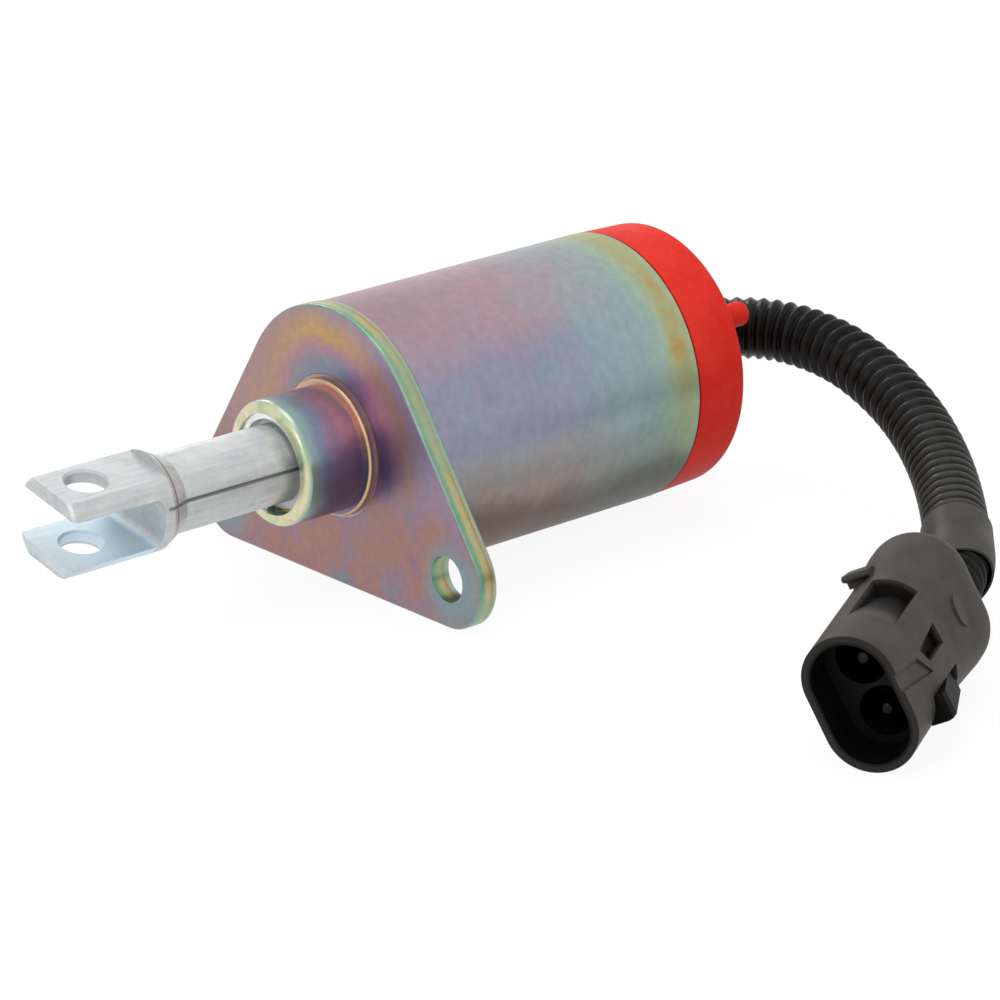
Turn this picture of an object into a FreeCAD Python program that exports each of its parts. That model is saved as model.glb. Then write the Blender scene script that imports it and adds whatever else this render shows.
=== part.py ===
import FreeCAD, Part
import math
import os

# Fuel shut-off solenoid, millimetres.
# The origin is the centre of the mounting flange's front face, on the plunger's axis.
# +X runs back along the barrel to the cap, +Z is up, square to the flange's straight lower edge.

Vector = FreeCAD.Vector

# How far a cutting solid runs past the faces that it cuts
overcut = 1.0

# Barrel
barrel_radius = 22.225
barrel_wall = 1.8
rear_counterbore_wall = 1.25

# Mounting flange: its lower edge and the connector's mouth stand on one surface
flange_thickness = 3.4
flange_margin = 0.275
ear_radius = 8.0
ear_spacing = 54.9
ear_hole_radius = 3.7
flange_edge_round = 0.5
flange_radius = barrel_radius + flange_margin

# Nose collar
nose_radius = 10.0
nose_length = 12.5
nose_edge_round = 1.1
pilot_radius = 11.0
pilot_length = 1.2
pilot_edge_round = 0.42
spigot_step = 0.5
nose_mouth_radius = 8.1

# Retaining ring in the nose
ring_width = 1.5
ring_thickness = 1.1
ring_recess = 0.55
ring_groove_depth = 0.35
ring_edge_round = 0.33
ring_opening_from = -80.0
ring_opening_to = 40.0

# Guide tube and plunger
plunger_radius = 7.5
running_clearance = 0.08
guide_wall = 0.5
shaft_radius = 6.25
head_radius = 7.9
tip_x = -53.6
head_end_x = -35.8
shoulder_length = 3.4
plunger_cone_length = 4.0
plunger_cone_land = 0.6
plunger_cone_end_radius = 5.6
stroke = 18.0
shut_gap = 0.5
stop_gap = 0.15
clevis_angle = 12.0
clevis_slot_width = 8.2
clevis_slot_root_x = -37.6
clevis_slot_corner = 1.5
clevis_flats_width = 12.8
clevis_pin_radius = 3.2
clevis_pin_inset = 6.5
clevis_pin_chamfer = 0.35
tip_chamfer = 0.45
vent_angle = 174.0
vent_width = 0.6
vent_depth = 0.5

# Return spring and its seat
spring_wire = 1.0
spring_outer_radius = 5.0
spring_turns = 6
seat_thickness = 1.0
pocket_clearance = 0.5
spring_pocket_depth = 9.0

# Coil
bobbin_start_gap = 0.1
bobbin_length = 43.0
bobbin_barrel_wall = 1.3
bobbin_flange_wall = 1.4
bobbin_rim_gap = 0.6
winding_margin = 1.9
wrap_depth = 0.4
seat_clearance = 0.05
lead_slot_width = 3.4
lead_slot_depth = 4.2

# Back plate and pole piece
pole_length = 17.5
back_plate_thickness = 4.0
pole_spigot_radius = 5.0
pole_rivet_radius = 6.2
pole_rivet_height = 1.2
lead_hole_radius = 1.9
lead_angles = (120.0, 240.0)

# Cap
cap_step = 0.025
cap_draft = 0.4
cap_length = 10.6
cap_edge_round = 1.2
cap_spigot_length = 5.0
cap_spigot_gap = 1.6
cap_wall = 3.0
cap_floor = 3.0
seal_wire_radius = 0.9
seal_groove_width = 2.2
seal_squeeze_gap = 0.05
seal_inset = 1.4
peg_radius = 2.0
peg_height = 4.6
peg_edge_round = 0.9
peg_inset = 3.1
peg_angle = 149.5
outlet_y = -3.0
outlet_z = 3.0
outlet_wall = 1.7
outlet_collar_height = 2.8
outlet_collar_taper = 0.6

# Share of the shorter run that a bend in a lead or in the loom takes up
bend_share = 0.45

# Leads inside the cap
lead_radius = 1.1
splice_radius = 1.9
splice_length = 5.0
splice_circle = 9.0
splice_gap = 0.6
lead_rise = 1.4
lead_entry = 1.0

# Loom
loom_radius = 5.1
loom_fit = 0.1
loom_route = (
    Vector(65.2, -3.0, 3.0),
    Vector(76.0, -3.0, 3.0),
    Vector(84.5, -10.0, 2.8),
    Vector(87.0, -20.0, 1.8),
    Vector(86.0, -30.5, 0.3),
    Vector(81.0, -45.0, -1.8),
    Vector(73.0, -59.5, -4.2),
    Vector(63.0, -73.0, -7.0),
)
loom_last_run = 9.9
loom_side_shift = 0.6
loom_drop = 0.8
cuff_wall = 0.3
cuff_pieces = 3
cuff_slant = 44.0
cuff_slant_turn = -31.0

# Connector: its own axis runs from the mouth's centre out of the mouth
connector_rest_height = 10.3
connector_mouth = Vector(6.8, -109.6, connector_rest_height - flange_radius)
connector_axis = Vector(-0.873, -0.484, -0.056)
connector_up = Vector(-0.25, 0.345, 0.905)
connector_half_height = 10.6
connector_half_width = 7.0
connector_wall = 1.3
flare_start = 22.0
flare_length = 11.0
flare_growth = 0.75
backshell_length = 6.6
backshell_round = 4.6
backshell_wall = 2.4
backshell_hole_radius = 3.8
mouth_depth = 7.0
cavity_pitch = 8.4
cavity_radius = 3.9
cavity_depth = 9.0
terminal_radius = 1.25
terminal_tip_round = 0.8
terminal_land_gap = 3.0
seal_ring_radius = 3.2
seal_ring_length = 5.0
wire_bore_radius = 1.6

flare_end = flare_start + flare_length
connector_length = flare_end + backshell_length

# Latch window: a ramp cut into the upper rounded end
window_start = 8.0
window_end = 20.3
window_depth = 2.5
window_from = 4.0
window_to = 62.0

# Latch hook above the window, as distances back from the mouth and heights
hook_profile = (
    (26.4, 9.5), (26.4, 10.6), (24.8, 11.6), (21.7, 12.1), (21.1, 11.3), (23.0, 10.4), (23.0, 9.5)
)
hook_side = -4.6
hook_width = 4.0
hook_round = 0.4

# Side lock: a wedge let into the lower near side, as distances back from the mouth and reaches outwards
lock_profile = ((8.5, 4.7), (8.5, 7.4), (9.1, 7.9), (10.5, 8.0), (20.0, 5.8), (20.0, 4.7))
lock_low = -9.0
lock_high = -5.0
lock_gap = 0.1
lock_round = 0.3

# Recesses in the near flat side, as distances back from the mouth and heights
arrow_recess = ((18.6, 2.4), (19.0, -1.0), (12.2, -1.0), (10.6, 1.6))
arrow_depth = 1.6
keyway_recess = ((0.0, 2.6), (8.6, 1.2), (11.9, -2.4), (0.0, -0.1))
keyway_depth = 0.4
nib_centre = 27.7
nib_half_length = 2.5
nib_half_width = 1.4
nib_height = 0.3


def save(name, shape):
    """Write one node's solids."""
    shape.exportStep("parts/" + name + ".step")


def turned(profile):
    """Solid of revolution about the X axis from closed (x, radius) points."""
    corners = [Vector(x, 0, r) for x, r in profile]
    wire = Part.makePolygon(corners + [corners[0]])
    return Part.Face(wire).revolve(Vector(0, 0, 0), Vector(1, 0, 0), 360)


def tube(x0, x1, outer, inner):
    """Plain ring along X between two stations."""
    return turned([(x0, inner), (x1, inner), (x1, outer), (x0, outer)])


def rod(x0, x1, radius, y=0.0, z=0.0):
    """Round bar along X."""
    return Part.makeCylinder(radius, x1 - x0, Vector(x0, y, z), Vector(1, 0, 0))


def on_circle(radius, degrees, x):
    """Point at an angle about the X axis, counted from +Y towards +Z."""
    angle = math.radians(degrees)
    return Vector(x, radius * math.cos(angle), radius * math.sin(angle))


def circle_edges(shape, x, radius):
    """Circular edges about the X axis at one station and radius."""
    found = []
    for edge in shape.Edges:
        curve = edge.Curve
        if not isinstance(curve, Part.Circle):
            continue
        centre = curve.Center
        on_axis = math.hypot(centre.y, centre.z) < 0.001
        if on_axis and abs(centre.x - x) < 0.001 and abs(curve.Radius - radius) < 0.001:
            found.append(edge)
    return found


def arc_path(points):
    """Wire of straight runs joined by tangent arcs, and the arcs' radii."""
    edges = []
    radii = []
    last = points[0]
    for before, corner, after in zip(points, points[1:], points[2:]):
        back = before - corner
        ahead = after - corner
        half_turn = (math.pi - back.getAngle(ahead)) / 2
        setback = bend_share * min(back.Length, ahead.Length)
        radius = setback / math.tan(half_turn)
        back.normalize()
        ahead.normalize()
        start = corner + back * setback
        end = corner + ahead * setback
        inward = back + ahead
        inward.normalize()
        centre = corner + inward * math.hypot(radius, setback)
        middle = centre - inward * radius
        edges.append(Part.LineSegment(last, start).toShape())
        edges.append(Part.Arc(start, middle, end).toShape())
        radii.append(radius)
        last = end
    edges.append(Part.LineSegment(last, points[-1]).toShape())
    return Part.Wire(edges), radii


def swept(points, radius):
    """Round bar along an arc path."""
    path, radii = arc_path(points)
    start = points[0]
    section = Part.Wire(Part.makeCircle(radius, start, points[1] - start))
    return path.makePipeShell([section], True, True), path, radii


def connector_placement():
    """Local X out of the mouth, local Z up the mouth's long axis."""
    x_axis = Vector(connector_axis)
    x_axis.normalize()
    z_axis = connector_up - x_axis * connector_up.dot(x_axis)
    z_axis.normalize()
    y_axis = z_axis.cross(x_axis)
    matrix = FreeCAD.Matrix(
        x_axis.x, y_axis.x, z_axis.x, connector_mouth.x,
        x_axis.y, y_axis.y, z_axis.y, connector_mouth.y,
        x_axis.z, y_axis.z, z_axis.z, connector_mouth.z,
        0, 0, 0, 1,
    )
    return FreeCAD.Placement(matrix)


def placed(shape):
    """Move a shape from the connector's own frame to its place."""
    moved = shape.copy()
    moved.Placement = connector_placement().multiply(moved.Placement)
    return moved


# The loom's route ends square on the connector's rear, a little off its centre
loom_seat = Vector(-connector_length, loom_side_shift, -loom_drop)
loom_end = connector_placement().multVec(loom_seat)
loom_last_bend = connector_placement().multVec(loom_seat - Vector(loom_last_run, 0, 0))
loom_points = list(loom_route) + [loom_last_bend, loom_end]

# Flange outline values
ear_y = ear_spacing / 2
ear_z = ear_radius - flange_radius


def flange_outline():
    """Disc and two ears joined by straight flanks and a straight lower edge."""
    reach = math.hypot(ear_y, ear_z)
    tangent = math.atan2(ear_z, ear_y) + math.acos((flange_radius - ear_radius) / reach)
    normal = Vector(0, math.cos(tangent), math.sin(tangent))
    mirrored = Vector(0, -normal.y, normal.z)
    left_ear = Vector(0, ear_y, ear_z)
    right_ear = Vector(0, -ear_y, ear_z)
    down = Vector(0, 0, -1)
    left_out = Vector(0, math.cos((tangent - math.pi / 2) / 2), math.sin((tangent - math.pi / 2) / 2))
    right_out = Vector(0, -left_out.y, left_out.z)
    top = Part.Arc(normal * flange_radius, Vector(0, 0, flange_radius), mirrored * flange_radius)
    right_flank = Part.LineSegment(mirrored * flange_radius, right_ear + mirrored * ear_radius)
    right_arc = Part.Arc(
        right_ear + mirrored * ear_radius, right_ear + right_out * ear_radius, right_ear + down * ear_radius
    )
    lower = Part.LineSegment(right_ear + down * ear_radius, left_ear + down * ear_radius)
    left_arc = Part.Arc(
        left_ear + down * ear_radius, left_ear + left_out * ear_radius, left_ear + normal * ear_radius
    )
    left_flank = Part.LineSegment(left_ear + normal * ear_radius, normal * flange_radius)
    curves = (top, right_flank, right_arc, lower, left_arc, left_flank)
    return Part.Wire([curve.toShape() for curve in curves])


def make_flange():
    """Steel plate with two bolt ears and the hole that the nose collar's spigot fills."""
    plate = Part.Face(flange_outline()).extrude(Vector(flange_thickness, 0, 0))
    rim = [edge for edge in plate.Edges if abs(edge.BoundBox.XLength) < 0.001]
    plate = plate.makeFillet(flange_edge_round, rim)
    plate = plate.cut(rod(-overcut, flange_thickness + overcut, spigot_radius + seat_clearance))
    for side in (1, -1):
        plate = plate.cut(rod(-overcut, flange_thickness + overcut, ear_hole_radius, side * ear_y, ear_z))
    return plate


# Stations along the axis
spigot_radius = pilot_radius + spigot_step
guide_inner = plunger_radius + running_clearance
guide_outer = guide_inner + guide_wall
ring_front_x = ring_recess - nose_length
ring_rear_x = ring_front_x + ring_thickness
plunger_front_x = ring_rear_x + stop_gap
bobbin_x = flange_thickness + bobbin_start_gap
back_plate_x = bobbin_x + bobbin_length
back_plate_end_x = back_plate_x + back_plate_thickness
barrel_inner = barrel_radius - barrel_wall
counterbore_radius = barrel_radius - rear_counterbore_wall
barrel_end_x = back_plate_end_x + cap_spigot_gap + cap_spigot_length
pole_front_x = back_plate_x - pole_length
plunger_rear_x = pole_front_x - shut_gap - stroke + plunger_cone_length


def make_barrel():
    """Drawn steel tube, counterbored at the rear for the back plate and the cap's spigot."""
    return turned([
        (flange_thickness, barrel_inner),
        (back_plate_x, barrel_inner),
        (back_plate_x, counterbore_radius),
        (barrel_end_x, counterbore_radius),
        (barrel_end_x, barrel_radius),
        (flange_thickness, barrel_radius),
    ])


def make_nose():
    """Turned collar: a boss with a pilot bead at its foot and a spigot through the flange."""
    groove_radius = nose_mouth_radius + ring_groove_depth
    guide_seat = guide_outer + seat_clearance
    collar = turned([
        (-nose_length, nose_mouth_radius),
        (ring_front_x - seat_clearance, nose_mouth_radius),
        (ring_front_x - seat_clearance, groove_radius),
        (ring_rear_x + seat_clearance, groove_radius),
        (ring_rear_x + seat_clearance, guide_seat),
        (flange_thickness, guide_seat),
        (flange_thickness, spigot_radius),
        (0, spigot_radius),
        (0, pilot_radius),
        (-pilot_length, pilot_radius),
        (-pilot_length, nose_radius),
        (-nose_length, nose_radius),
    ])
    collar = collar.makeFillet(nose_edge_round, circle_edges(collar, -nose_length, nose_radius))
    return collar.makeFillet(pilot_edge_round, circle_edges(collar, -pilot_length, pilot_radius))


def make_retaining_ring():
    """Open snap ring that keeps the plunger in; its gap is on the far side."""
    outer = nose_mouth_radius + ring_groove_depth - seat_clearance
    inner = outer - ring_width
    ring = tube(ring_front_x, ring_rear_x, outer, inner)
    front = circle_edges(ring, ring_front_x, outer) + circle_edges(ring, ring_front_x, inner)
    ring = ring.makeFillet(ring_edge_round, front)
    gap = Part.makeCylinder(
        outer + overcut,
        ring_thickness + 2 * overcut,
        Vector(ring_front_x - overcut, 0, 0),
        Vector(1, 0, 0),
        ring_opening_to - ring_opening_from,
    )
    # A part cylinder about X starts its sweep at -Z, so the sector is turned to start at the gap's edge.
    start = gap.Vertexes[0].Point
    for vertex in gap.Vertexes:
        if math.hypot(vertex.Point.y, vertex.Point.z) > outer:
            start = vertex.Point
            break
    now = math.degrees(math.atan2(start.z, start.y))
    gap.rotate(Vector(0, 0, 0), Vector(1, 0, 0), ring_opening_from - now)
    return ring.cut(gap)


def make_guide_tube():
    """Brass liner that the plunger slides in, from the nose to the back plate."""
    return tube(ring_rear_x + 2 * seat_clearance, back_plate_x - seat_clearance, guide_outer, guide_inner)


def make_plunger():
    """Turned plunger: forked head, shaft, and the thick working end with its cone."""
    cone_x = plunger_rear_x - plunger_cone_length
    body = turned([
        (tip_x, 0),
        (tip_x, head_radius - tip_chamfer),
        (tip_x + tip_chamfer, head_radius),
        (head_end_x, head_radius),
        (head_end_x + shoulder_length, shaft_radius),
        (plunger_front_x, shaft_radius),
        (plunger_front_x, plunger_radius),
        (cone_x, plunger_radius),
        (cone_x, plunger_radius - plunger_cone_land),
        (plunger_rear_x, plunger_cone_end_radius),
        (plunger_rear_x, 0),
    ])
    slot_length = clevis_slot_root_x - tip_x + overcut
    slot = Part.makeBox(
        slot_length,
        4 * head_radius,
        clevis_slot_width,
        Vector(tip_x - overcut, -2 * head_radius, -clevis_slot_width / 2),
    )
    root_edges = []
    for edge in slot.Edges:
        middle = edge.CenterOfMass
        if abs(middle.x - clevis_slot_root_x) < 0.001 and edge.BoundBox.YLength > head_radius:
            root_edges.append(edge)
    slot = slot.makeFillet(clevis_slot_corner, root_edges)
    pin_x = tip_x + clevis_pin_inset
    cuts = [slot, Part.makeCylinder(clevis_pin_radius, 4 * head_radius, Vector(pin_x, 0, -2 * head_radius))]
    chamfer_radius = clevis_pin_radius + clevis_pin_chamfer
    flat = clevis_flats_width / 2
    arm = clevis_slot_width / 2
    for height, inward in ((flat, -1), (arm, 1), (-arm, -1), (-flat, 1)):
        cuts.append(Part.makeCone(
            chamfer_radius, clevis_pin_radius, clevis_pin_chamfer, Vector(pin_x, 0, height), Vector(0, 0, inward)
        ))
    for side in (1, -1):
        bottom = clevis_flats_width / 2 if side > 0 else -clevis_flats_width / 2 - head_radius
        cuts.append(Part.makeBox(
            head_end_x - tip_x + overcut,
            4 * head_radius,
            head_radius,
            Vector(tip_x - overcut, -2 * head_radius, bottom),
        ))
    for cut in cuts:
        cut.rotate(Vector(0, 0, 0), Vector(1, 0, 0), clevis_angle)
        body = body.cut(cut)
    vent = Part.makeBox(
        plunger_rear_x - head_end_x - shoulder_length / 2 + overcut,
        plunger_radius - shaft_radius + vent_depth + overcut,
        vent_width,
        Vector(head_end_x + shoulder_length / 2, shaft_radius - vent_depth, -vent_width / 2),
    )
    vent.rotate(Vector(0, 0, 0), Vector(1, 0, 0), vent_angle)
    return body.cut(vent)


def make_spring_seat():
    """Washer between the plunger's rear face and the spring."""
    inner = spring_outer_radius - 2 * spring_wire
    return tube(plunger_rear_x, plunger_rear_x + seat_thickness, spring_outer_radius, inner)


def make_pole():
    """Fixed core: a conical mouth for the plunger, a spring pocket and a riveted spigot."""
    mouth = plunger_radius - plunger_cone_land + running_clearance
    cone_end_x = pole_front_x + plunger_cone_length
    pocket = spring_outer_radius + pocket_clearance
    pocket_end_x = cone_end_x + spring_pocket_depth
    rivet_x = back_plate_end_x
    return turned([
        (pole_front_x, mouth),
        (cone_end_x, plunger_cone_end_radius + running_clearance),
        (cone_end_x, pocket),
        (pocket_end_x, pocket),
        (pocket_end_x, 0),
        (rivet_x + pole_rivet_height, 0),
        (rivet_x + pole_rivet_height, pole_rivet_radius - pole_rivet_height / 2),
        (rivet_x, pole_rivet_radius),
        (rivet_x, pole_spigot_radius),
        (back_plate_x, pole_spigot_radius),
        (back_plate_x, guide_inner - seat_clearance),
        (pole_front_x, guide_inner - seat_clearance),
    ])


def make_spring():
    """Helical compression spring from the seat washer to the pocket's floor."""
    start_x = plunger_rear_x + seat_thickness
    end_x = pole_front_x + plunger_cone_length + spring_pocket_depth
    mean_radius = spring_outer_radius - spring_wire / 2
    wire_radius = spring_wire / 2
    height = end_x - start_x - spring_wire
    helix = Part.makeHelix(height / spring_turns, height, mean_radius)
    section = Part.Wire(Part.makeCircle(wire_radius, Vector(mean_radius, 0, 0), Vector(0, 1, 0)))
    coil = Part.Wire(helix.Edges).makePipeShell([section], True, True)
    coil.rotate(Vector(0, 0, 0), Vector(0, 1, 0), 90)
    coil.translate(Vector(start_x + wire_radius, 0, 0))
    return coil


bobbin_inner = guide_outer + seat_clearance
bobbin_barrel = bobbin_inner + bobbin_barrel_wall
bobbin_flange_radius = barrel_inner - bobbin_rim_gap
winding_outer = bobbin_flange_radius - winding_margin
lead_hole_circle = (bobbin_barrel + winding_outer) / 2
winding_start_x = bobbin_x + bobbin_flange_wall + seat_clearance
winding_end_x = bobbin_x + bobbin_length - bobbin_flange_wall - seat_clearance


def make_bobbin():
    """Moulded spool; the rear flange has a slot for each lead."""
    end_x = bobbin_x + bobbin_length - seat_clearance
    spool = turned([
        (bobbin_x, bobbin_inner),
        (end_x, bobbin_inner),
        (end_x, bobbin_flange_radius),
        (end_x - bobbin_flange_wall, bobbin_flange_radius),
        (end_x - bobbin_flange_wall, bobbin_barrel),
        (bobbin_x + bobbin_flange_wall, bobbin_barrel),
        (bobbin_x + bobbin_flange_wall, bobbin_flange_radius),
        (bobbin_x, bobbin_flange_radius),
    ])
    slot_x = end_x - bobbin_flange_wall - overcut
    for angle in lead_angles:
        slot = Part.makeBox(
            bobbin_flange_wall + 2 * overcut,
            2 * lead_slot_depth,
            lead_slot_width,
            Vector(slot_x, lead_hole_circle - lead_slot_depth / 2, -lead_slot_width / 2),
        )
        slot.rotate(Vector(0, 0, 0), Vector(1, 0, 0), angle)
        spool = spool.cut(slot)
    return spool


def make_winding():
    """Copper winding and the tape over it."""
    winding = tube(winding_start_x, winding_end_x, winding_outer, bobbin_barrel + seat_clearance)
    tape_inner = winding_outer + seat_clearance
    return winding, tube(winding_start_x, winding_end_x, tape_inner + wrap_depth, tape_inner)


def make_back_plate():
    """Steel disc that closes the magnetic circuit, with holes for the pole and the leads."""
    plate = tube(
        back_plate_x + seat_clearance,
        back_plate_end_x,
        counterbore_radius - seat_clearance,
        pole_spigot_radius + seat_clearance,
    )
    for angle in lead_angles:
        at = on_circle(lead_hole_circle, angle, 0)
        plate = plate.cut(rod(back_plate_x - overcut, back_plate_end_x + overcut, lead_hole_radius, at.y, at.z))
    return plate


cap_radius = barrel_radius - cap_step
cap_rear_radius = cap_radius - cap_draft
cap_end_x = barrel_end_x + cap_length
cap_floor_x = cap_end_x - cap_floor
spigot_start_x = barrel_end_x - cap_spigot_length
spigot_outer = counterbore_radius - seat_clearance
outlet_bore = loom_radius + loom_fit
seal_groove_x = spigot_start_x + seal_inset
seal_groove_radius = spigot_outer - 2 * seal_wire_radius + seal_squeeze_gap


def make_cap():
    """Moulded cap: grooved spigot, hollow inside, loom outlet with a collar, and a fill peg."""
    cavity = spigot_outer - cap_wall
    shell = turned([
        (spigot_start_x, cavity),
        (cap_floor_x, cavity),
        (cap_floor_x, 0),
        (cap_end_x, 0),
        (cap_end_x, cap_rear_radius),
        (barrel_end_x, cap_radius),
        (barrel_end_x, spigot_outer),
        (seal_groove_x + seal_groove_width, spigot_outer),
        (seal_groove_x + seal_groove_width, seal_groove_radius),
        (seal_groove_x, seal_groove_radius),
        (seal_groove_x, spigot_outer),
        (spigot_start_x, spigot_outer),
    ])
    shell = shell.makeFillet(cap_edge_round, circle_edges(shell, cap_end_x, cap_rear_radius))
    collar_foot = outlet_bore + outlet_wall
    collar = Part.makeCone(
        collar_foot,
        collar_foot - outlet_collar_taper,
        outlet_collar_height,
        Vector(cap_end_x, outlet_y, outlet_z),
        Vector(1, 0, 0),
    )
    peg_at = on_circle(cap_rear_radius - peg_inset, peg_angle, cap_end_x)
    peg = rod(cap_floor_x, cap_end_x + peg_height, peg_radius, peg_at.y, peg_at.z)
    tip = [edge for edge in peg.Edges if abs(edge.CenterOfMass.x - peg_at.x - peg_height) < 0.001]
    peg = peg.makeFillet(peg_edge_round, tip)
    shell = shell.fuse(collar).fuse(peg)
    outlet_end_x = cap_end_x + outlet_collar_height + overcut
    return shell.cut(rod(cap_floor_x - overcut, outlet_end_x, outlet_bore, outlet_y, outlet_z))


def make_cap_seal():
    """O-ring in the spigot's groove."""
    middle_x = seal_groove_x + seal_groove_width / 2
    return Part.makeTorus(
        seal_groove_radius + seal_wire_radius,
        seal_wire_radius - seal_squeeze_gap,
        Vector(middle_x, 0, 0),
        Vector(1, 0, 0),
    )


def make_leads():
    """Two leads from the back plate's holes to their splices, and the splice barrels."""
    leads = []
    splices = []
    splice_x = cap_floor_x - splice_length - splice_gap
    for angle in lead_angles:
        hole = on_circle(lead_hole_circle, angle, winding_end_x + 2 * seat_clearance)
        rise = Vector(back_plate_end_x + lead_rise, hole.y, hole.z)
        turn = on_circle((lead_hole_circle + splice_circle) / 2, angle, (rise.x + splice_x) / 2)
        entry = on_circle(splice_circle, angle, splice_x - lead_entry)
        end = on_circle(splice_circle, angle, splice_x + seat_clearance)
        lead = swept([hole, rise, turn, entry, end], lead_radius)[0]
        leads.append(lead)
        splices.append(rod(splice_x + seat_clearance, splice_x + splice_length, splice_radius, end.y, end.z))
    return leads, splices


def make_loom():
    """Ribbed loom's outer form as a plain tube along its route."""
    shape, path, radii = swept(loom_points, loom_radius)
    section = math.pi * loom_radius ** 2
    print("loom radii", [round(radius, 1) for radius in radii])
    ratio = shape.Volume / section / path.Length
    print("loom length", round(path.Length, 1), "volume ratio", round(ratio, 4))
    return shape


def make_cuff():
    """Smooth sleeve over the loom's last stretch; its end is cut on a slant beside the connector."""
    path = Part.Wire(arc_path(loom_points)[0].Edges[-cuff_pieces:])
    start = path.Edges[0].firstVertex(True).Point
    ahead = path.Edges[0].tangentAt(path.Edges[0].FirstParameter)
    inner_radius = loom_radius + loom_fit
    outer = Part.Wire(Part.makeCircle(inner_radius + cuff_wall, start, ahead))
    inner = Part.Wire(Part.makeCircle(inner_radius, start, ahead))
    sleeve = path.makePipeShell([outer], True, True).cut(path.makePipeShell([inner], True, True))
    reach = 2 * loom_radius
    cutter = Part.makeBox(2 * reach, 4 * reach, 4 * reach, Vector(0, -2 * reach, -2 * reach))
    cutter.rotate(Vector(0, 0, 0), Vector(0, 0, 1), cuff_slant)
    lift = (inner_radius + cuff_wall) * math.tan(math.radians(cuff_slant))
    cutter.translate(Vector(-lift, 0, 0))
    cutter.rotate(Vector(0, 0, 0), Vector(1, 0, 0), cuff_slant_turn)
    cutter.translate(loom_seat)
    return sleeve.cut(placed(cutter))


def obround_wire(x, half_height, half_width):
    """Closed obround across X, its long axis along Z."""
    straight = half_height - half_width
    near_top = Vector(x, half_width, straight)
    near_bottom = Vector(x, half_width, -straight)
    far_top = Vector(x, -half_width, straight)
    far_bottom = Vector(x, -half_width, -straight)
    return Part.Wire([
        Part.Arc(far_top, Vector(x, 0, half_height), near_top).toShape(),
        Part.LineSegment(near_top, near_bottom).toShape(),
        Part.Arc(near_bottom, Vector(x, 0, -half_height), far_bottom).toShape(),
        Part.LineSegment(far_bottom, far_top).toShape(),
    ])


def obround(x0, x1, half_height, half_width):
    """Bar along X with an obround section."""
    return Part.Face(obround_wire(x0, half_height, half_width)).extrude(Vector(x1 - x0, 0, 0))


def side_plate(corners, y0, y1):
    """Prism along Y from points given as distance back from the mouth and height."""
    points = [Vector(-back, y0, height) for back, height in corners]
    face = Part.Face(Part.makePolygon(points + [points[0]]))
    return face.extrude(Vector(0, y1 - y0, 0))


def end_sector(corners, axis_height, start, sweep):
    """Solid swept about a rounded end's axis from (distance back, radius) points."""
    points = [Vector(-back, radius, axis_height) for back, radius in corners]
    face = Part.Face(Part.makePolygon(points + [points[0]]))
    face.rotate(Vector(0, 0, axis_height), Vector(1, 0, 0), start)
    return face.revolve(Vector(0, 0, axis_height), Vector(1, 0, 0), sweep)


end_axis_height = connector_half_height - connector_half_width
flared_half_height = connector_half_height + flare_growth
flared_half_width = connector_half_width + flare_growth


def make_connector_body():
    """Two-way housing: obround shroud, flared rear, latch window, hook, lock pocket and recesses."""
    shroud = obround(-flare_start, 0, connector_half_height, connector_half_width)
    flare = Part.makeLoft([
        obround_wire(-flare_end, flared_half_height, flared_half_width),
        obround_wire(-flare_start, connector_half_height, connector_half_width),
    ], True, True)
    hook = side_plate(hook_profile, hook_side, hook_side + hook_width)
    outer = [edge for edge in hook.Edges if edge.CenterOfMass.z > hook_profile[0][1] + hook_width / 4]
    hook = hook.makeFillet(hook_round, outer)
    nib_foot = connector_half_width - nib_half_width / 2
    nib_top = connector_half_width + flare_growth / 2 + nib_height
    nib = Part.makeCylinder(nib_half_width, nib_top - nib_foot, Vector(0, 0, 0), Vector(0, 1, 0))
    stretch = FreeCAD.Matrix()
    stretch.scale(1, 1, nib_half_length / nib_half_width)
    nib = nib.transformGeometry(stretch)
    nib.translate(Vector(-nib_centre, nib_foot, 0))
    body = shroud.fuse(flare).fuse(hook).fuse(nib)
    window = end_sector(
        (
            (window_start, connector_half_width),
            (window_end, connector_half_width - window_depth),
            (window_end, connector_half_width + flare_growth / 2),
            (window_start, connector_half_width + flare_growth / 2),
        ),
        end_axis_height,
        90 - window_to,
        window_to - window_from,
    )
    outside = connector_half_width + overcut
    arrow = side_plate(arrow_recess, connector_half_width - arrow_depth, outside)
    keyway = side_plate(keyway_recess, connector_half_width - keyway_depth, outside)
    mouth = obround(
        -mouth_depth, overcut, connector_half_height - connector_wall, connector_half_width - connector_wall
    )
    lock_start, lock_floor = lock_profile[0]
    lock_end = lock_profile[-1][0]
    lock_pocket = Part.makeBox(
        lock_end - lock_start + 2 * lock_gap,
        connector_half_width,
        lock_high - lock_low + 2 * lock_gap,
        Vector(-lock_end - lock_gap, lock_floor, lock_low - lock_gap),
    )
    body = body.cut(window).cut(arrow).cut(keyway).cut(mouth).cut(lock_pocket)
    cavity_floor = mouth_depth + cavity_depth
    seal_start = flare_end - seal_ring_length
    for side in (1, -1):
        z = side * cavity_pitch / 2
        body = body.cut(rod(-cavity_floor, -mouth_depth + overcut, cavity_radius, 0, z))
        body = body.cut(rod(-flare_end, -cavity_floor + overcut, wire_bore_radius, 0, z))
        body = body.cut(rod(-flare_end - overcut, -seal_start, seal_ring_radius, 0, z))
    return placed(body.removeSplitter())


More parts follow.
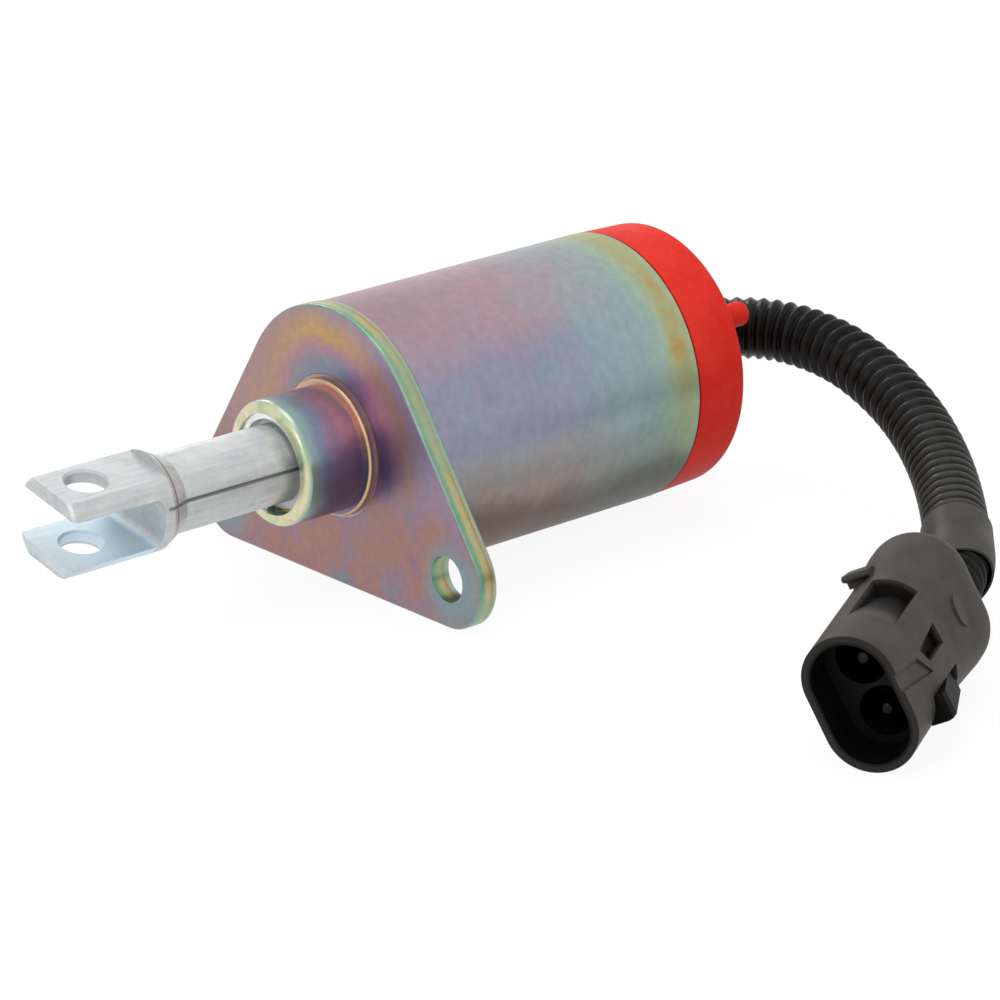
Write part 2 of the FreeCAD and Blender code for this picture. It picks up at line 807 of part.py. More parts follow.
def make_side_lock():
    """Sloping wedge that fills the pocket and stands out of the near side."""
    points = [Vector(-back, reach, lock_low) for back, reach in lock_profile]
    face = Part.Face(Part.makePolygon(points + [points[0]]))
    wedge = face.extrude(Vector(0, 0, lock_high - lock_low))
    outer = []
    for edge in wedge.Edges:
        if edge.BoundBox.ZLength > 1 and edge.CenterOfMass.y > connector_half_width:
            outer.append(edge)
    return placed(wedge.makeFillet(lock_round, outer))


def make_backshell():
    """Rounded rear cover with a hole for the wires, in line with the loom."""
    shell = obround(-connector_length, -flare_end, flared_half_height, flared_half_width)
    rim = []
    for edge in shell.Edges:
        if edge.BoundBox.XLength < 0.001 and abs(edge.CenterOfMass.x + connector_length) < 0.001:
            rim.append(edge)
    shell = shell.makeFillet(backshell_round, rim)
    pocket = obround(
        -connector_length + backshell_wall,
        -flare_end + overcut,
        flared_half_height - backshell_wall,
        flared_half_width - backshell_wall,
    )
    hole = rod(-connector_length - overcut, -flare_end, backshell_hole_radius, loom_seat.y, loom_seat.z)
    return placed(shell.cut(pocket).cut(hole))


def make_terminals():
    """Pin terminals on their cavity axes and the wire seals behind them."""
    pins = []
    seals = []
    pin_start = -flare_end + seal_ring_length + seat_clearance
    land_end = -mouth_depth - cavity_depth - terminal_land_gap
    for side in (1, -1):
        z = side * cavity_pitch / 2
        pin = rod(pin_start, -mouth_depth, terminal_radius, 0, z)
        tip = [edge for edge in pin.Edges if abs(edge.CenterOfMass.x + mouth_depth) < 0.001]
        pin = pin.makeFillet(terminal_tip_round, tip)
        land = rod(pin_start, land_end, wire_bore_radius - seat_clearance, 0, z)
        pins.append(placed(pin.fuse(land).removeSplitter()))
        seal = rod(
            -flare_end + seat_clearance, pin_start - seat_clearance, seal_ring_radius - seat_clearance, 0, z
        )
        seals.append(placed(seal))
    return pins, seals


os.makedirs("parts", exist_ok=True)

save("mounting_flange", make_flange())
save("barrel_tube", make_barrel())
save("nose_collar", make_nose())
save("retaining_ring", make_retaining_ring())
save("guide_tube", make_guide_tube())
save("plunger", make_plunger())
save("spring_seat", make_spring_seat())
save("return_spring", make_spring())
save("pole_piece", make_pole())
save("coil_bobbin", make_bobbin())
winding, tape = make_winding()
save("coil_winding", winding)
save("winding_tape", tape)
save("back_plate", make_back_plate())
save("end_cap", make_cap())
save("cap_seal", make_cap_seal())
lead_solids, splice_solids = make_leads()
for name, solid in zip(("supply_lead", "return_lead"), lead_solids):
    save(name, solid)
save("lead_splices", Part.makeCompound(splice_solids))
save("wiring_loom", make_loom())
save("loom_cuff", make_cuff())
save("connector_body", make_connector_body())
save("side_lock", make_side_lock())
save("connector_backshell", make_backshell())
pin_solids, seal_solids = make_terminals()
save("terminal_pins", Part.makeCompound(pin_solids))
save("wire_seals", Part.makeCompound(seal_solids))
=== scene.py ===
import math

import bpy
from mathutils import Matrix, Vector


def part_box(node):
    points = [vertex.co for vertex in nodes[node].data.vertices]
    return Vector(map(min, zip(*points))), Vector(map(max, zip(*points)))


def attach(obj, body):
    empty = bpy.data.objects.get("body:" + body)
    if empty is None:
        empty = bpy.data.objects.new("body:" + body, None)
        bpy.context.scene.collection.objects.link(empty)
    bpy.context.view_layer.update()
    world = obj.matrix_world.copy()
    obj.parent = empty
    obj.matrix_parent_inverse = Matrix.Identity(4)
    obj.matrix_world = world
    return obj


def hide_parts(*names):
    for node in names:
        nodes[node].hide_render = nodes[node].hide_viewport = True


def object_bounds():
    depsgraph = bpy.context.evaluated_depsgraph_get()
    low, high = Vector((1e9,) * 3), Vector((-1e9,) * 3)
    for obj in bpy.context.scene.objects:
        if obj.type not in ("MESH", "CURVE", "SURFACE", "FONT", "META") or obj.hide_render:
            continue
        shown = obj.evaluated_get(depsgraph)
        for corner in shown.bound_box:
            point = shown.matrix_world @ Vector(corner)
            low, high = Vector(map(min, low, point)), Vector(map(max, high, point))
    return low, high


# Fuel shut-off solenoid, in metres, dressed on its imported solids.
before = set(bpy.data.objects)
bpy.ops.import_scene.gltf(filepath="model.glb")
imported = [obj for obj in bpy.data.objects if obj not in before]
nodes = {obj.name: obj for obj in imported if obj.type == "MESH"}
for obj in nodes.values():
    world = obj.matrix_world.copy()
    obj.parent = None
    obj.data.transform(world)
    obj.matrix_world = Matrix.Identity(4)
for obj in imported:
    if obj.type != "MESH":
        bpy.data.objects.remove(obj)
cad_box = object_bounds()

MM = 0.001

# Camera
camera_place = Vector((-398.31, -518.46, 227.01)) * MM
camera_azimuth = math.radians(-39.806)
camera_elevation = math.radians(19.904)
camera_roll = math.radians(-1.294)
focal_pixels = 4455.7
image_pixels = 1000
sensor_width = 36.0

# Loom: its route repeats the one that the solid follows
loom_radius = 5.1 * MM
loom_route = [
    (65.2, -3.0, 3.0),
    (76.0, -3.0, 3.0),
    (84.5, -10.0, 2.8),
    (87.0, -20.0, 1.8),
    (86.0, -30.5, 0.3),
    (81.0, -45.0, -1.8),
    (73.0, -59.5, -4.2),
    (63.0, -73.0, -7.0),
    (50.47, -86.39, -9.90),
    (41.83, -91.19, -10.45),
]
# Ribs: distance along the loom, spacing and groove depth, in mm
rib_rows = [
    (0.0, 1.95, 0.35),
    (20.0, 2.00, 0.50),
    (28.0, 2.35, 0.90),
    (34.0, 2.55, 0.95),
    (40.0, 3.15, 0.90),
    (46.0, 3.40, 0.85),
    (58.0, 3.05, 0.70),
    (70.0, 2.65, 0.55),
    (80.0, 2.25, 0.40),
    (100.0, 2.10, 0.35),
    (106.0, 2.20, 0.90),
    (125.0, 2.20, 0.90),
]
rib_sides = 56
ring_step = 0.18 * MM

# Connector: mouth centre, axis out of the mouth and long axis, as the solid has them
connector_mouth = Vector((6.8, -109.6, -12.2)) * MM
connector_axis = Vector((-0.873, -0.484, -0.056)).normalized()
connector_up = Vector((-0.25, 0.345, 0.905))
connector_half_height = 10.6 * MM
connector_half_width = 7.0 * MM
connector_wall = 1.3 * MM

# Plunger: angle of the fork and of the vent groove about the axis, as the solid has them
fork_turn = 12.0
vent_turn = 174.0

# Sizes that the stains and the painted shade are placed by, as the solids have them
barrel_radius = 22.2 * MM
flange_thickness = 3.4 * MM
ear_centre = (29.0 * MM, -15.5 * MM)
cap_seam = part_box("barrel_tube")[1][0]


def make_camera():
    """Camera at the photograph's place and angle."""
    data = bpy.data.cameras.new("camera")
    data.sensor_width = sensor_width
    data.lens = focal_pixels * sensor_width / image_pixels
    data.clip_start = 0.01
    data.clip_end = 20
    camera = bpy.data.objects.new("camera", data)
    bpy.context.scene.collection.objects.link(camera)
    turn = Matrix.Rotation(camera_azimuth, 4, "Z")
    tilt = Matrix.Rotation(math.pi / 2 - camera_elevation, 4, "X")
    roll = Matrix.Rotation(camera_roll, 4, "Z")
    camera.matrix_world = Matrix.Translation(camera_place) @ turn @ tilt @ roll
    bpy.context.scene.camera = camera


class Look:
    """A node material, with short calls that add nodes to it."""

    def __init__(self, name):
        self.material = bpy.data.materials.new(name)
        self.material.use_nodes = True
        self.tree = self.material.node_tree
        self.shader = self.tree.nodes["Principled BSDF"]

    def add(self, kind, **settings):
        made = self.tree.nodes.new(kind)
        for name, value in settings.items():
            setattr(made, name, value)
        return made

    def feed(self, value, socket):
        """Link an output, or set a constant, on a socket."""
        if isinstance(value, bpy.types.NodeSocket):
            self.tree.links.new(value, socket)
        elif isinstance(value, tuple) and socket.type == "RGBA":
            socket.default_value = (*value, 1)
        else:
            socket.default_value = value

    def put(self, **values):
        """Set or link the shader's own sockets, underscores standing for spaces."""
        for name, value in values.items():
            self.feed(value, self.shader.inputs[name.replace("_", " ")])
        return self

    def place(self):
        return self.add("ShaderNodeTexCoord").outputs["Object"]

    def axes(self, vector):
        split = self.add("ShaderNodeSeparateXYZ")
        self.feed(vector, split.inputs[0])
        return split.outputs

    def sums(self, operation, *values):
        made = self.add("ShaderNodeMath", operation=operation)
        for value, socket in zip(values, made.inputs):
            self.feed(value, socket)
        return made.outputs[0]

    def product(self, *values):
        """Product of two values or more."""
        total = values[0]
        for value in values[1:]:
            total = self.sums("MULTIPLY", total, value)
        return total

    def vector(self, operation, *values):
        made = self.add("ShaderNodeVectorMath", operation=operation)
        for value, socket in zip(values, made.inputs):
            self.feed(value, socket)
        single = operation in ("LENGTH", "DISTANCE", "DOT_PRODUCT")
        return made.outputs["Value" if single else "Vector"]

    def over_plane(self, place, degrees):
        """Height over the plane through the plunger's axis that is turned by an angle from level."""
        turn = math.radians(degrees)
        return self.vector("DOT_PRODUCT", place, (0.0, -math.sin(turn), math.cos(turn)))

    def off_axis(self, place):
        """Distance from the plunger's axis."""
        return self.vector("LENGTH", self.vector("MULTIPLY", place, (0.0, 1.0, 1.0)))

    def noise(self, size, detail=3.0, rough=0.55, vector=None):
        """Noise between 0 and 1 whose patches are about size metres wide."""
        made = self.add("ShaderNodeTexNoise")
        self.feed(vector or self.place(), made.inputs["Vector"])
        made.inputs["Scale"].default_value = 1 / size
        made.inputs["Detail"].default_value = detail
        made.inputs["Roughness"].default_value = rough
        return made.outputs["Fac"]

    def span(self, value, low, high, out_low=0.0, out_high=1.0):
        """Smooth step between two levels."""
        made = self.add("ShaderNodeMapRange", interpolation_type="SMOOTHSTEP")
        for item, socket in zip((value, low, high, out_low, out_high), made.inputs):
            self.feed(item, socket)
        return made.outputs[0]

    def band(self, value, low, high, soft):
        """1 between two levels, fading to 0 over a soft edge outside them."""
        rise = self.span(value, low - soft, low)
        fall = self.span(value, high, high + soft, 1.0, 0.0)
        return self.sums("MULTIPLY", rise, fall)

    def ramp(self, value, *stops):
        """Colours at positions between 0 and 1."""
        made = self.add("ShaderNodeValToRGB")
        ramp = made.color_ramp
        ramp.interpolation = "EASE"
        while len(ramp.elements) < len(stops):
            ramp.elements.new(0.5)
        for element, (position, colour) in zip(ramp.elements, stops):
            element.position = position
            element.color = (*colour, 1)
        self.feed(value, made.inputs[0])
        return made.outputs[0]

    def blend(self, share, first, second, kind="MIX"):
        made = self.add("ShaderNodeMix", data_type="RGBA", blend_type=kind)
        self.feed(share, made.inputs[0])
        self.feed(first, made.inputs[6])
        self.feed(second, made.inputs[7])
        return made.outputs[2]

    def bump(self, height, distance, strength=1.0):
        made = self.add("ShaderNodeBump")
        made.inputs["Strength"].default_value = strength
        made.inputs["Distance"].default_value = distance
        self.feed(height, made.inputs["Height"])
        self.feed(made.outputs[0], self.shader.inputs["Normal"])
        return self


def plated(name, colour_of, roughness=0.38):
    """Iridescent chromate over steel: colour_of adds the part's own stains and its painted shade."""
    look = Look(name)
    colour = colour_of(look)
    mottle = look.noise(1.6 * MM, 5.0, 0.65)
    tone = look.ramp(mottle, (0.3, (0.90, 0.89, 0.90)), (0.7, (1.0, 1.0, 1.0)))
    look.put(Base_Color=look.blend(1.0, colour, tone, "MULTIPLY"), Metallic=0.94)
    fine = look.noise(0.35 * MM, 3.0, 0.6)
    wide = look.noise(9 * MM, 3.0)
    look.put(Roughness=look.sums("MULTIPLY_ADD", wide, 0.14, roughness - 0.07))
    return look.bump(fine, 0.012 * MM, 0.6).material


def barrel_colours(look):
    """Rose by the flange, lavender grey further on, green and orange by the cap, with painted shade
    underneath.
    """
    place = look.place()
    x, _, z = look.axes(place)
    wide = look.sums("MULTIPLY_ADD", look.noise(16 * MM, 3.0), 10 * MM, -5 * MM)
    near = look.sums("MULTIPLY_ADD", look.noise(5 * MM, 3.0), 3 * MM, -1.5 * MM)
    along = look.sums("ADD", x, wide)
    height = look.sums("DIVIDE", look.sums("MULTIPLY_ADD", wide, 0.8, z), barrel_radius)
    body = look.ramp(
        look.span(height, -1.0, 1.0),
        (0.00, (0.68, 0.46, 0.38)),
        (0.20, (0.52, 0.42, 0.37)),
        (0.42, (0.44, 0.44, 0.43)),
        (0.62, (0.39, 0.42, 0.54)),
        (0.88, (0.35, 0.37, 0.47)),
        (1.00, (0.48, 0.37, 0.41)),
    )
    rose = look.product(look.span(along, 4 * MM, 28 * MM, 1.0, 0.0), look.span(height, 0.70, 0.98), 0.85)
    body = look.blend(rose, body, (0.41, 0.30, 0.33))
    green = look.product(look.span(along, 26 * MM, 46 * MM), 0.75)
    body = look.blend(green, body, (0.36, 0.53, 0.51))
    foot = look.product(
        look.span(along, 4 * MM, 13 * MM, 1.0, 0.0),
        look.span(height, -0.45, 0.1, 1.0, 0.0),
        0.75,
    )
    body = look.blend(foot, body, (0.28, 0.44, 0.40))
    cloud = look.ramp(
        look.noise(7 * MM, 4.0, 0.6),
        (0.30, (0.42, 0.56, 0.54)),
        (0.50, (0.50, 0.49, 0.52)),
        (0.70, (0.58, 0.46, 0.52)),
    )
    body = look.blend(0.42, body, look.blend(1.0, body, cloud, "OVERLAY"))
    upper = look.span(height, -0.5, 0.2)
    edge = look.sums("SUBTRACT", look.sums("ADD", x, near), cap_seam)
    leaf = look.product(look.span(edge, -11 * MM, -2 * MM), look.span(height, -0.9, 0.0), 0.7)
    body = look.blend(leaf, body, (0.45, 0.66, 0.37))
    gold = look.product(look.band(edge, -3.4 * MM, -2.0 * MM, 3.0 * MM), upper, 0.7)
    body = look.blend(gold, body, (0.50, 0.48, 0.20))
    stain = look.product(
        look.band(edge, -3.0 * MM, -2.2 * MM, 1.8 * MM),
        look.band(height, 0.40, 0.65, 0.28),
        look.span(look.noise(5 * MM, 3.0), 0.36, 0.60),
        0.8,
    )
    body = look.blend(stain, body, (0.58, 0.35, 0.11))
    # Painted shade: the whole colour is multiplied darker towards the underside, standing in for the shade
    # there.
    shade = look.ramp(
        look.span(height, -1.0, 1.0),
        (0.00, (0.16, 0.14, 0.13)),
        (0.10, (0.23, 0.20, 0.18)),
        (0.30, (0.60, 0.58, 0.57)),
        (0.58, (0.86, 0.86, 0.86)),
        (0.90, (0.86, 0.84, 0.86)),
        (1.00, (0.86, 0.80, 0.80)),
    )
    body = look.blend(1.0, body, shade, "MULTIPLY")
    streak = look.noise(1.2 * MM, 3.0, 0.6, look.vector("MULTIPLY", place, (1.0, 0.2, 0.2)))
    grain = look.ramp(streak, (0.35, (0.25, 0.25, 0.25)), (0.65, (0.7, 0.7, 0.7)))
    return look.blend(0.05, body, grain, "OVERLAY")


def flange_colours(look):
    """Gold above the boss, blue and violet round it with painted shade beside it, rose below, teal at the
    ears, its rim in lines.
    """
    place = look.place()
    x, y, z = look.axes(place)
    warp = look.sums("MULTIPLY_ADD", look.noise(10 * MM, 3.0), 7 * MM, -3.5 * MM)
    ripple = look.sums("MULTIPLY_ADD", look.noise(4 * MM, 3.0), 2 * MM, -1 * MM)
    reach = look.sums("ADD", look.sums("ADD", look.off_axis(place), warp), ripple)
    lower = look.ramp(
        look.noise(9 * MM, 4.0, 0.6),
        (0.28, (0.20, 0.26, 0.28)),
        (0.42, (0.32, 0.21, 0.25)),
        (0.58, (0.38, 0.21, 0.18)),
        (0.74, (0.31, 0.18, 0.27)),
    )
    halo = look.ramp(
        look.span(reach, 10 * MM, 23 * MM),
        (0.00, (0.20, 0.25, 0.32)),
        (0.15, (0.26, 0.26, 0.32)),
        (0.30, (0.40, 0.24, 0.29)),
        (0.46, (0.48, 0.28, 0.21)),
        (0.64, (0.51, 0.34, 0.14)),
        (0.82, (0.48, 0.31, 0.19)),
        (1.00, (0.37, 0.29, 0.31)),
    )
    # Its darkest violet, next to the boss, is partly the plating's tint and partly painted shade from the
    # boss.
    near = look.ramp(
        look.span(reach, 10 * MM, 24 * MM),
        (0.00, (0.19, 0.12, 0.27)),
        (0.14, (0.36, 0.21, 0.41)),
        (0.32, (0.50, 0.29, 0.31)),
        (0.70, (0.46, 0.28, 0.24)),
        (1.00, (0.36, 0.28, 0.40)),
    )
    far = look.product(look.span(look.sums("ADD", y, ripple), 3 * MM, 15 * MM), 0.7)
    halo = look.blend(far, halo, (0.42, 0.26, 0.24))
    face = look.blend(look.span(look.sums("ADD", y, ripple), -12 * MM, -1 * MM, 1.0, 0.0), halo, near)
    face = look.blend(look.span(look.sums("ADD", z, ripple), -9 * MM, 3 * MM), lower, face)
    # Painted shade cast by the boss: a dark violet patch on the face beside it.
    boss_shade = look.vector("DISTANCE", place, (0.0, -12.0 * MM, 1.0 * MM))
    boss_shade = look.span(look.sums("ADD", boss_shade, ripple), 0.5 * MM, 7.5 * MM, 0.75, 0.0)
    face = look.blend(boss_shade, face, (0.10, 0.08, 0.17))
    for side in (1, -1):
        ear = look.vector("DISTANCE", place, (0.0, side * ear_centre[0], ear_centre[1]))
        cool = look.span(look.sums("ADD", ear, ripple), 3.5 * MM, 9.0 * MM, 0.9, 0.0)
        face = look.blend(cool, face, (0.22, 0.32, 0.35))
    normal = look.add("ShaderNodeNewGeometry").outputs["Normal"]
    facing = look.sums("ABSOLUTE", look.axes(normal)[0])
    depth = look.sums("ADD", x, look.product(ripple, 0.25))
    rim = look.ramp(
        look.sums("DIVIDE", depth, flange_thickness),
        (0.00, (0.16, 0.30, 0.24)),
        (0.24, (0.22, 0.38, 0.26)),
        (0.36, (0.47, 0.45, 0.20)),
        (0.56, (0.49, 0.41, 0.19)),
        (0.68, (0.38, 0.25, 0.14)),
        (0.80, (0.40, 0.43, 0.27)),
        (1.00, (0.32, 0.50, 0.44)),
    )
    green = look.product(look.span(look.noise(9 * MM, 3.0), 0.42, 0.62), 0.7)
    rim = look.blend(green, rim, (0.28, 0.43, 0.30))
    return look.blend(look.span(facing, 0.75, 0.97, 1.0, 0.0), face, rim)


def nose_colours(look):
    """Olive rim, teal then violet towards the foot, navy tint and painted shade on the underside, a gold
    line on the bead.
    """
    place = look.place()
    x, _, z = look.axes(place)
    warp = look.sums("MULTIPLY_ADD", look.noise(6 * MM, 3.0), 4 * MM, -2 * MM)
    along = look.span(look.sums("ADD", x, warp), -13.5 * MM, -0.5 * MM)
    body = look.ramp(
        along,
        (0.00, (0.42, 0.52, 0.36)),
        (0.12, (0.30, 0.44, 0.44)),
        (0.32, (0.25, 0.34, 0.46)),
        (0.62, (0.44, 0.32, 0.50)),
        (0.86, (0.60, 0.36, 0.42)),
        (1.00, (0.62, 0.38, 0.32)),
    )
    # Painted shade on the underside, with a navy tint: dark navy blended in low on the collar.
    low = look.span(look.sums("ADD", z, warp), -2 * MM, 7 * MM, 0.88, 0.0)
    low = look.product(low, look.span(along, 0.05, 0.65))
    body = look.blend(low, body, (0.155, 0.15, 0.26))
    radius = look.off_axis(place)
    bead = look.span(radius, 10.55 * MM, 10.75 * MM)
    body = look.blend(bead, body, (0.62, 0.42, 0.22))
    wall = look.product(look.span(radius, 10.85 * MM, 10.97 * MM), look.span(x, -0.9 * MM, -0.6 * MM))
    body = look.blend(wall, body, (0.42, 0.30, 0.31))
    front = look.span(x, -11.7 * MM, -12.3 * MM)
    return look.blend(front, body, look.ramp(
        look.noise(5 * MM, 3.0),
        (0.35, (0.46, 0.58, 0.38)),
        (0.55, (0.76, 0.72, 0.48)),
        (0.75, (0.64, 0.48, 0.25)),
    ))


def zinc(name):
    """Zinc plate with drawn marks, bluer inside the fork, with painted shade in its vent groove and along
    its shoulder line.
    """
    look = Look(name)
    place = look.place()
    x = look.axes(place)[0]
    cast = look.ramp(
        look.noise(4 * MM, 4.0, 0.65),
        (0.30, (0.50, 0.54, 0.56)),
        (0.50, (0.59, 0.61, 0.61)),
        (0.72, (0.67, 0.68, 0.66)),
    )
    across = look.over_plane(place, fork_turn)
    inner = look.product(
        look.span(look.sums("ABSOLUTE", across), 5.6 * MM, 6.0 * MM, 1.0, 0.0),
        look.span(x, -57 * MM, -43 * MM, 0.3, 1.0),
        look.span(x, -38.2 * MM, -37.8 * MM, 1.0, 0.0),
        look.span(across, -1 * MM, 1 * MM, 1.0, 0.0),
        0.9,
    )
    cast = look.blend(inner, cast, (0.68, 0.86, 0.98))
    # Painted shade: the vent groove darkened along its length.
    dark = look.product(
        look.span(look.sums("ABSOLUTE", look.over_plane(place, vent_turn)), 0.16 * MM, 0.34 * MM, 0.7, 0.0),
        look.span(look.over_plane(place, vent_turn - 90), 0.0, 1 * MM),
        look.span(x, -37.2 * MM, -36.6 * MM),
    )
    # Painted shade along the shoulder line.
    shoulder_shade = look.product(look.band(x, -35.1 * MM, -34.8 * MM, 0.15 * MM), 0.6)
    cast = look.blend(look.sums("MAXIMUM", dark, shoulder_shade), cast, (0.06, 0.06, 0.06))
    streak = look.noise(0.8 * MM, 3.0, 0.6, look.vector("MULTIPLY", place, (0.08, 1.0, 1.0)))
    drawn = look.ramp(streak, (0.35, (0.30, 0.30, 0.30)), (0.65, (0.66, 0.66, 0.66)))
    look.put(Base_Color=look.blend(0.25, cast, drawn, "OVERLAY"), Metallic=0.5)
    look.put(Roughness=look.sums("MULTIPLY_ADD", look.noise(3 * MM), 0.2, 0.30))
    return look.bump(streak, 0.03 * MM, 0.6).material


def metal(name, dark, light, roughness, grain=1.2):
    """Plain metal with a fine grain."""
    look = Look(name)
    look.put(Base_Color=look.ramp(look.noise(grain * MM, 4.0), (0.3, dark), (0.7, light)), Metallic=1.0)
    look.put(Roughness=look.sums("MULTIPLY_ADD", look.noise(2 * grain * MM), 0.2, roughness - 0.1))
    return look.bump(look.noise(0.3 * MM), 0.02 * MM, 0.4).material


def plastic(name, dark, light, roughness, patch=4.0, grain=0.25, relief=0.015, specular=0.5):
    """Moulded plastic with slight tone changes and a fine surface."""
    look = Look(name)
    look.put(Base_Color=look.ramp(look.noise(patch * MM, 4.0), (0.3, dark), (0.7, light)))
    look.put(Roughness=look.sums("MULTIPLY_ADD", look.noise(1.5 * patch * MM), 0.16, roughness - 0.08))
    look.put(Specular_IOR_Level=specular)
    return look.bump(look.noise(grain * MM, 3.0), relief * MM, 0.5).material


def winding(name):
    """Fine turns of enamelled copper along the axis."""
    look = Look(name)
    wave = look.add("ShaderNodeTexWave", bands_direction="X")
    look.feed(look.place(), wave.inputs["Vector"])
    wave.inputs["Scale"].default_value = 0.314 / (0.5 * MM)
    turns = look.ramp(wave.outputs["Fac"], (0.1, (0.16, 0.05, 0.02)), (0.8, (0.55, 0.22, 0.08)))
    look.put(Base_Color=turns, Metallic=0.8, Roughness=0.3)
    return look.bump(wave.outputs["Fac"], 0.1 * MM).material


def paint(material, *names):
    for name in names:
        slots = nodes[name].data.materials
        slots.clear()
        slots.append(material)


def connector_material():
    """Brownish black plastic, with painted shade inside the mouth, on its lip and in the side recesses."""
    look = Look("connector_plastic")
    tone = look.ramp(look.noise(6 * MM, 4.0), (0.3, (0.048, 0.042, 0.035)), (0.7, (0.068, 0.061, 0.052)))
    side = connector_up.cross(connector_axis).normalized()
    rise = connector_axis.cross(side)
    offset = look.vector("SUBTRACT", look.place(), tuple(connector_mouth))
    depth = look.vector("DOT_PRODUCT", offset, tuple(connector_axis))
    across = look.sums("ABSOLUTE", look.vector("DOT_PRODUCT", offset, tuple(side)))
    height = look.sums("ABSOLUTE", look.vector("DOT_PRODUCT", offset, tuple(rise)))
    straight = connector_half_height - connector_half_width
    over = look.sums("MAXIMUM", look.sums("SUBTRACT", height, straight), 0.0)
    square = look.sums("ADD", look.sums("POWER", over, 2.0), look.sums("POWER", across, 2.0))
    radius = look.sums("SQRT", square)
    bore = connector_half_width - connector_wall
    # Painted shade: near black inside the mouth.
    inside = look.span(radius, bore + 0.15 * MM, bore + 0.6 * MM, 1.0, 0.0)
    inside = look.product(inside, look.span(depth, -17 * MM, -16.5 * MM))
    # Painted shade on the mouth's lip.
    lip = look.span(depth, -0.5 * MM, -0.05 * MM, 0.0, 0.8)
    # Painted shade in the side recesses.
    recess_shade = look.product(
        look.span(radius, connector_half_width - 1.1 * MM, connector_half_width - 0.2 * MM, 0.98, 0.0),
        look.span(depth, -1.0 * MM, -6.0 * MM),
        look.span(depth, -20.5 * MM, -20.3 * MM),
    )
    tone = look.blend(recess_shade, tone, (0.010, 0.009, 0.008))
    tone = look.blend(lip, tone, (0.016, 0.015, 0.013))
    look.put(Base_Color=look.blend(inside, tone, (0.003, 0.003, 0.003)), Specular_IOR_Level=0.15)
    look.put(Roughness=look.sums("MULTIPLY_ADD", look.noise(8 * MM), 0.16, 0.46))
    return look.bump(look.noise(0.3 * MM, 3.0), 0.02 * MM, 0.5).material


def red_plastic():
    """Satin red plastic with a fine moulded grain, with painted shade where its edge meets the barrel."""
    look = Look("red_plastic")
    x = look.axes(look.place())[0]
    tone = look.ramp(look.noise(9 * MM, 4.0), (0.3, (0.73, 0.029, 0.019)), (0.7, (0.83, 0.044, 0.028)))
    fine = look.noise(0.7 * MM, 4.0, 0.7)
    speck = look.ramp(fine, (0.35, (0.40, 0.40, 0.40)), (0.65, (0.58, 0.58, 0.58)))
    tone = look.blend(0.5, tone, speck, "OVERLAY")
    # Painted shade: a dark band along the cap's edge at the barrel.
    seam_shade = look.span(x, cap_seam + 0.1 * MM, cap_seam + 0.6 * MM, 0.85, 0.0)
    look.put(Base_Color=look.blend(seam_shade, tone, (0.05, 0.004, 0.004)), Specular_IOR_Level=0.04)
    look.put(Roughness=look.sums("MULTIPLY_ADD", look.noise(12 * MM), 0.16, 0.36))
    return look.bump(look.noise(0.4 * MM, 3.0), 0.02 * MM, 0.6).material


def make_looks():
    paint(plated("barrel_chromate", barrel_colours, 0.45), "barrel_tube")
    paint(plated("flange_chromate", flange_colours), "mounting_flange")
    paint(plated("nose_chromate", nose_colours, 0.32), "nose_collar")
    paint(zinc("zinc_plate"), "plunger")
    paint(metal("ring_steel", (0.70, 0.72, 0.74), (0.90, 0.91, 0.92), 0.25), "retaining_ring")
    steel = metal("machined_steel", (0.42, 0.42, 0.43), (0.60, 0.60, 0.61), 0.35)
    paint(steel, "spring_seat", "pole_piece", "back_plate")
    paint(metal("spring_wire", (0.45, 0.45, 0.47), (0.62, 0.62, 0.64), 0.28), "return_spring")
    paint(metal("drawn_brass", (0.60, 0.44, 0.18), (0.78, 0.62, 0.32), 0.3), "guide_tube")
    paint(plastic("spool_nylon", (0.68, 0.64, 0.54), (0.80, 0.77, 0.68), 0.5), "coil_bobbin")
    paint(winding("copper_turns"), "coil_winding")
    tape = plastic("cloth_tape", (0.50, 0.43, 0.28), (0.66, 0.58, 0.40), 0.85, 1.0, 0.4, 0.08)
    paint(tape, "winding_tape")
    paint(red_plastic(), "end_cap")
    rubber = plastic("black_rubber", (0.012, 0.012, 0.012), (0.025, 0.025, 0.025), 0.7)
    paint(rubber, "cap_seal", "wire_seals")
    jacket = plastic("lead_jackets", (0.02, 0.02, 0.02), (0.04, 0.04, 0.04), 0.45)
    paint(jacket, "supply_lead", "return_lead")
    # Painted shade: tinned metal given a near black colour, standing in for the dark cavities it sits in.
    shaded_tin = metal("tinned_copper", (0.012, 0.012, 0.011), (0.026, 0.025, 0.023), 0.34)
    paint(shaded_tin, "lead_splices", "terminal_pins")
    paint(connector_material(), "connector_body", "connector_backshell")
    lock = plastic("lock_plastic", (0.003, 0.003, 0.003), (0.006, 0.006, 0.005), 0.5, specular=0.05)
    paint(lock, "side_lock")
    cuff = plastic("cuff_plastic", (0.040, 0.037, 0.033), (0.058, 0.054, 0.048), 0.5, 5.0, specular=0.15)
    paint(cuff, "loom_cuff")


